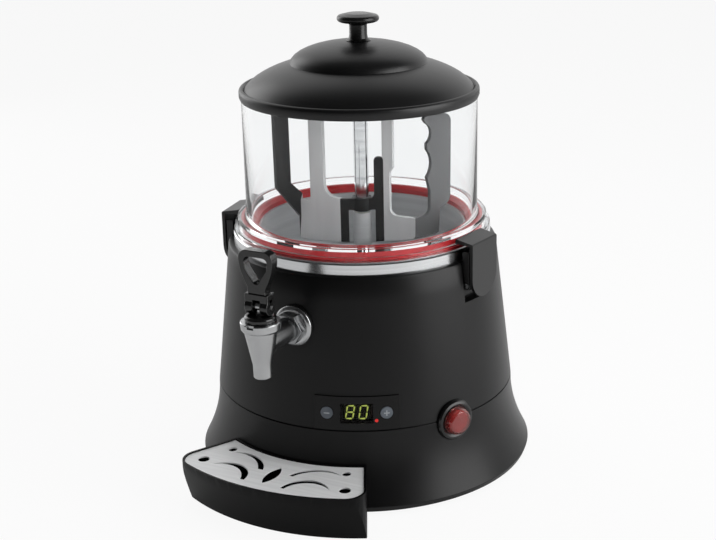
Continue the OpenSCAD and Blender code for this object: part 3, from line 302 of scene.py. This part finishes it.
# ---- Display panel ----
# A curved black frame stands a little proud of the body. A tinted window covers the digits, and the display
# module stands behind them on the control board.
panel_black = surface("panel_black", (0.0015, 0.0015, 0.0015), (0.0025, 0.0025, 0.0025), 0.26, grain=60,
                      bump=0.08, bump_scale=1200, spread=0.04, shine=0.25)
window_dark = surface("window_dark", (0.20, 0.18, 0.17), (0.26, 0.24, 0.23), 0.03, grain=20, bump=0.01,
                      bump_scale=50, clear=1.0, ior=1.15, spread=0.01)
board_green = surface("board_green", (0.02, 0.14, 0.05), (0.04, 0.22, 0.08), 0.4, grain=300, bump=0.3,
                      bump_scale=900)
module_black = surface("module_black", (0.010, 0.010, 0.010), (0.016, 0.016, 0.016), 0.5, grain=200, bump=0.1,
                       bump_scale=900)
dress(panel_black, "panel_frame")
dress(window_dark, "display_window")
dress(board_green, "control_board")
dress(module_black, "display_module", "switch_body")
soften(0.0005, "panel_frame")

# ---- Digits ----
# Two slanted seven-segment digits glow yellow-green and read 80. Their thin bars stand free just behind the
# window, 2.7 mm in front of the display module, and are turned and leant with the body's wall.
glow = bpy.data.materials.new("digit_glow")
glow.use_nodes = True
glow_nodes, glow_link = glow.node_tree.nodes, glow.node_tree.links.new
glow_shader = glow_nodes["Principled BSDF"]
glow_place = glow_nodes.new("ShaderNodeTexCoord")
glow_noise = glow_nodes.new("ShaderNodeTexNoise")
glow_noise.inputs["Scale"].default_value = 900
glow_ramp = glow_nodes.new("ShaderNodeValToRGB")
glow_ramp.color_ramp.elements[0].color = (0.48, 0.64, 0.12, 1)
glow_ramp.color_ramp.elements[1].color = (0.62, 0.78, 0.20, 1)
glow_link(glow_place.outputs["Object"], glow_noise.inputs["Vector"])
glow_link(glow_noise.outputs["Fac"], glow_ramp.inputs["Fac"])
glow_link(glow_ramp.outputs["Color"], glow_shader.inputs["Base Color"])
glow_link(glow_ramp.outputs["Color"], glow_shader.inputs["Emission Color"])
glow_shader.inputs["Emission Strength"].default_value = 2.4

window_low, window_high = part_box("display_window")
digit_z = (window_low.z + window_high.z) / 2
digit_az = math.radians(24.4)
digit_r = 0.1312
digit_side = 0.0056  # from the window's middle to the middle of a digit
half_wide = 0.0030
half_high = 0.0056
bar_r = 0.00072
bar_thick = 0.0002
flat_bar = 0.0050
upright_bar = 0.0046
slant_share = 0.16
wall_taper = 0.114
bars = {
    "a": (0, 1, False), "b": (1, 0.5, True), "c": (1, -0.5, True), "d": (0, -1, False),
    "e": (-1, -0.5, True), "f": (-1, 0.5, True), "g": (0, 0, False),
}
slant = Matrix(((1, slant_share, 0, 0), (0, 1, 0, 0), (0, 0, 1, 0), (0, 0, 0, 1)))
lean = math.atan(wall_taper)
bm = bmesh.new()
for centre, lit in ((-digit_side, "abcdefg"), (digit_side, "abcdef")):
    digit = []
    for key in lit:
        across, up, upright = bars[key]
        made = bmesh.ops.create_cone(bm, cap_ends=True, segments=6, radius1=bar_r, radius2=bar_r,
                                     depth=bar_thick)
        bar = made["verts"]
        pull = (upright_bar if upright else flat_bar) / 2 - bar_r
        for corner in bar:
            corner.co.x += math.copysign(pull, corner.co.x)
        if upright:
            bmesh.ops.rotate(bm, matrix=Matrix.Rotation(math.pi / 2, 3, "Z"), verts=bar)
        bmesh.ops.translate(bm, vec=(across * half_wide, up * half_high, 0), verts=bar)
        digit += bar
    place = (
        Matrix.Rotation(digit_az + centre / digit_r, 4, "Z")
        @ Matrix.Translation((0, -digit_r, digit_z))
        @ Matrix.Rotation(math.pi / 2 - lean, 4, "X")
        @ slant
    )
    bmesh.ops.transform(bm, matrix=place, verts=digit)
digit_mesh = bpy.data.meshes.new("digits")
bm.to_mesh(digit_mesh)
bm.free()
digits = bpy.data.objects.new("digits", digit_mesh)
bpy.context.scene.collection.objects.link(digits)
digits.data.materials.append(glow)
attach(digits, "machine")

# ---- Buttons ----
# Two round blue-grey push buttons stand at the ends of the panel. A paler minus and plus are moulded on their
# faces and stand out from them by less than half a millimetre.
button_grey = surface("button_grey", (0.085, 0.10, 0.12), (0.13, 0.15, 0.175), 0.38, grain=120, bump=0.08,
                      bump_scale=1200)
mark_grey = surface("mark_grey", (0.36, 0.38, 0.40), (0.44, 0.46, 0.48), 0.5, grain=300, bump=0.05)
dress(button_grey, "button_down", "button_up")
soften(0.0006, "button_down", "button_up")
mark_long, mark_wide, mark_thick = 0.0048, 0.0009, 0.0005
mark_r = 0.1354
minus = ((mark_long, mark_wide),)
plus = ((mark_long, mark_wide), (mark_wide, mark_long))
for name, button_az, strokes in (("button_down", 13.6, minus), ("button_up", 35.2, plus)):
    button_low, button_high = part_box(name)
    turn = math.radians(button_az)
    button_z = (button_low.z + button_high.z) / 2
    bm = bmesh.new()
    for wide, high in strokes:
        stroke = bmesh.ops.create_cube(bm, size=1.0)["verts"]
        bmesh.ops.scale(bm, vec=(wide, mark_thick, high), verts=stroke)
    bmesh.ops.transform(bm, matrix=Matrix.Rotation(turn, 4, "Z"), verts=bm.verts)
    bmesh.ops.translate(bm, vec=(mark_r * math.sin(turn), -mark_r * math.cos(turn), button_z), verts=bm.verts)
    mark_mesh = bpy.data.meshes.new(name + "_mark")
    bm.to_mesh(mark_mesh)
    bm.free()
    mark = bpy.data.objects.new(name + "_mark", mark_mesh)
    bpy.context.scene.collection.objects.link(mark)
    mark.data.materials.append(mark_grey)
    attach(mark, name)

# ---- Status light ----
# A small red plastic light reaches through the panel frame, at the right and below the digits. It glows faintly
# while the heater is on.
led_red = surface("led_red", (0.40, 0.010, 0.010), (0.55, 0.020, 0.015), 0.2, grain=200, bump=0.02)
led_shader = led_red.node_tree.nodes["Principled BSDF"]
led_shader.inputs["Emission Color"].default_value = (0.9, 0.02, 0.01, 1)
led_shader.inputs["Emission Strength"].default_value = 0.35
dress(led_red, "status_led")

# ---- Switch ----
# The round switch has a thick black bezel and sits in a hole across the groove between the two shells. Its red
# rocker lies under a translucent soft cover that keeps drink out.
bezel_black = surface("bezel_black", (0.003, 0.003, 0.003), (0.005, 0.005, 0.005), 0.24, grain=80, bump=0.05,
                      bump_scale=900, spread=0.04)
rocker_red = surface("rocker_red", (0.30, 0.010, 0.016), (0.42, 0.020, 0.026), 0.25, grain=150, bump=0.04)
cover_clear = surface("cover_clear", (0.55, 0.13, 0.12), (0.72, 0.24, 0.22), 0.12, grain=60, bump=0.06,
                      bump_scale=400, coat=0.8, clear=0.9, ior=1.35, spread=0.05)
dress(bezel_black, "switch_bezel")
dress(rocker_red, "switch_rocker")
dress(cover_clear, "switch_cap")
soften(0.0, "switch_bezel", "switch_cap", "switch_rocker")

# ---- Drip tray ----
# The tray is a deep black moulding, duller than the body. It hooks into two slots of the base and pulls out
# to be emptied.
tray_black = surface("tray_black", (0.0022, 0.0022, 0.0024), (0.0034, 0.0034, 0.0036), 0.36, grain=16,
                     bump=0.12, bump_scale=1400, shine=0.12)
dress(tray_black, "drip_tray")
soften(0.0008, "drip_tray")

# ---- Grille ----
# Stamped stainless plate with a leaf, crescents and round holes. It lies loose in the tray's mouth and is
# brushed along its length.
grille_steel = surface("grille_steel", (0.80, 0.805, 0.81), (0.90, 0.905, 0.91), 0.42, grain=12,
                       stretch=(1, 30, 1), bump=0.06, bump_scale=60, metal=0.1)
dress(grille_steel, "drip_grille")
soften(0.0003, "drip_grille")

# ---- Cable gland ----
# Black nylon gland in the rear of the base, held by a hexagon nut on the inside. It is the way in for a
# supply cord.
gland_nylon = surface("gland_nylon", (0.014, 0.014, 0.014), (0.022, 0.022, 0.022), 0.45, grain=150, bump=0.15)
dress(gland_nylon, "cable_gland")
soften(0.0004, "cable_gland")

# ---- Floor ----
# A plain pale floor that keeps a faint shadow of the machine. Straight views of it are nearly white, and
# polished pieces show it dimmer.


def maths(tree, operation, first, second, clamp=False):
    """The result of one Math node, whose two inputs are sockets or plain numbers."""
    math_node = tree.nodes.new("ShaderNodeMath")
    math_node.operation = operation
    math_node.use_clamp = clamp
    for entry, value in zip(math_node.inputs, (first, second)):
        if isinstance(value, (int, float)):
            entry.default_value = value
        else:
            tree.links.new(value, entry)
    return math_node.outputs["Value"]


seen_white = 0.92
mirrored_white = 0.25
bpy.ops.mesh.primitive_plane_add(size=8, location=(0, 0, 0))
floor = bpy.context.object
floor.name = "floor"
floor_white = bpy.data.materials.new("floor_white")
floor_white.use_nodes = True
floor_tree = floor_white.node_tree
floor_shader = floor_tree.nodes["Principled BSDF"]
floor_shader.inputs["Base Color"].default_value = (0.8, 0.8, 0.8, 1)
floor_shader.inputs["Roughness"].default_value = 0.8
floor_shader.inputs["Specular IOR Level"].default_value = 0.0
glare = floor_tree.nodes.new("ShaderNodeEmission")
glare.inputs["Strength"].default_value = 1.0
floor_mix = floor_tree.nodes.new("ShaderNodeMixShader")
ray = floor_tree.nodes.new("ShaderNodeLightPath").outputs
seen = maths(floor_tree, "MAXIMUM", ray["Is Camera Ray"], ray["Is Transmission Ray"])
mirrored = maths(floor_tree, "MULTIPLY", ray["Is Glossy Ray"], mirrored_white)
seen_or_mirrored = maths(floor_tree, "MAXIMUM", seen, mirrored)
white_share = maths(floor_tree, "MULTIPLY", seen_or_mirrored, seen_white)
floor_tree.links.new(white_share, floor_mix.inputs["Fac"])
floor_tree.links.new(floor_shader.outputs["BSDF"], floor_mix.inputs[1])
floor_tree.links.new(glare.outputs["Emission"], floor_mix.inputs[2])
floor_tree.links.new(floor_mix.outputs["Shader"], floor_tree.nodes["Material Output"].inputs["Surface"])
floor.data.materials.append(floor_white)

# ---- Light ----
# The room is white behind the machine and dim in front of it and above, so black mouldings stay dark and get
# pale edges. A large soft panel stands at the right and a weaker one at the left. Two more fill from the top
# and the front, and no piece mirrors them.
front_way = (0.40, -0.80, 0.45)
room_stops = ((0.0, 0.95), (0.30, 0.80), (0.52, 0.07), (1.0, 0.03))
white_from, white_to = 0.52, 0.34
half_bounce = 0.5
world = bpy.data.worlds.new("studio")
bpy.context.scene.world = world
world.use_nodes = True
room = world.node_tree
new_node, link_room = room.nodes.new, room.links.new
toward = new_node("ShaderNodeTexCoord")
facing = new_node("ShaderNodeVectorMath")
facing.operation = "DOT_PRODUCT"
facing.inputs[1].default_value = front_way
turned = new_node("ShaderNodeMapRange")
turned.inputs["From Min"].default_value = -1.0
shade = new_node("ShaderNodeValToRGB")
first_stop, last_stop = shade.color_ramp.elements
first_stop.position, last_stop.position = room_stops[0][0], room_stops[-1][0]
first_stop.color = (*[room_stops[0][1]] * 3, 1)
last_stop.color = (*[room_stops[-1][1]] * 3, 1)
for position, level in room_stops[1:-1]:
    shade.color_ramp.elements.new(position).color = (level, level, level, 1)
behind = new_node("ShaderNodeMapRange")
behind.inputs["From Min"].default_value = white_from
behind.inputs["From Max"].default_value = white_to
white = new_node("ShaderNodeBackground")
white.inputs["Color"].default_value = (1, 1, 1, 1)
room_mix = new_node("ShaderNodeMixShader")
room_ray = new_node("ShaderNodeLightPath").outputs
bounced = maths(room, "GREATER_THAN", room_ray["Glossy Depth"], half_bounce)
any_mirror = maths(room, "MAXIMUM", room_ray["Is Glossy Ray"], bounced)
straight = maths(room, "SUBTRACT", room_ray["Is Transmission Ray"], bounced, clamp=True)
seen_straight = maths(room, "MAXIMUM", room_ray["Is Camera Ray"], straight)
mirrored_back = maths(room, "MULTIPLY", any_mirror, behind.outputs["Result"])
link_room(toward.outputs["Generated"], facing.inputs[0])
link_room(facing.outputs["Value"], turned.inputs["Value"])
link_room(turned.outputs["Result"], shade.inputs["Fac"])
link_room(turned.outputs["Result"], behind.inputs["Value"])
link_room(shade.outputs["Color"], room.nodes["Background"].inputs["Color"])
link_room(maths(room, "MAXIMUM", seen_straight, mirrored_back), room_mix.inputs["Fac"])
link_room(room.nodes["Background"].outputs["Background"], room_mix.inputs[1])
link_room(white.outputs["Background"], room_mix.inputs[2])
link_room(room_mix.outputs["Shader"], room.nodes["World Output"].inputs["Surface"])

lit_spot = Vector((0, 0, 0.22))
for name, spot, wide, tall, power, mirror_image in (
    ("right_panel", (1.75, 0.10, 0.75), 1.5, 1.6, 30, True),
    ("left_panel", (-1.45, 0.45, 0.70), 0.8, 1.3, 5, True),
    ("top_panel", (0.1, 0.2, 1.7), 1.4, 1.4, 10, False),
    ("front_fill", (0.9, -2.2, 1.3), 1.0, 1.0, 5, False),
):
    panel = bpy.data.lights.new(name, "AREA")
    panel.shape = "RECTANGLE"
    panel.size, panel.size_y, panel.energy = wide, tall, power
    lamp = bpy.data.objects.new(name, panel)
    lamp.location = spot
    lamp.rotation_mode = "QUATERNION"
    lamp.rotation_quaternion = (lit_spot - Vector(spot)).to_track_quat("-Z", "Y")
    lamp.visible_camera = False
    lamp.visible_glossy = mirror_image
    bpy.context.scene.collection.objects.link(lamp)

# ---- Camera ----
# The picture is taken from the machine's front right and from a little above. The lens points past the
# machine's right side, and the frame is shifted left to bring the machine back into the middle.
camera_spot = (0.5634, -1.0595, 0.579)
camera_turn, camera_tilt, camera_roll = math.radians(25.63), math.radians(71.13), math.radians(-0.5)
camera_data = bpy.data.cameras.new("camera")
camera_data.lens = 69.94
camera_data.sensor_width = 36
camera_data.shift_x = -0.0838
camera = bpy.data.objects.new("camera", camera_data)
camera.matrix_world = (
    Matrix.Translation(camera_spot)
    @ Matrix.Rotation(camera_turn, 4, "Z")
    @ Matrix.Rotation(camera_tilt, 4, "X")
    @ Matrix.Rotation(camera_roll, 4, "Z")
)
bpy.context.scene.collection.objects.link(camera)
bpy.context.scene.camera = camera

bpy.context.scene.view_settings.view_transform = "Standard"
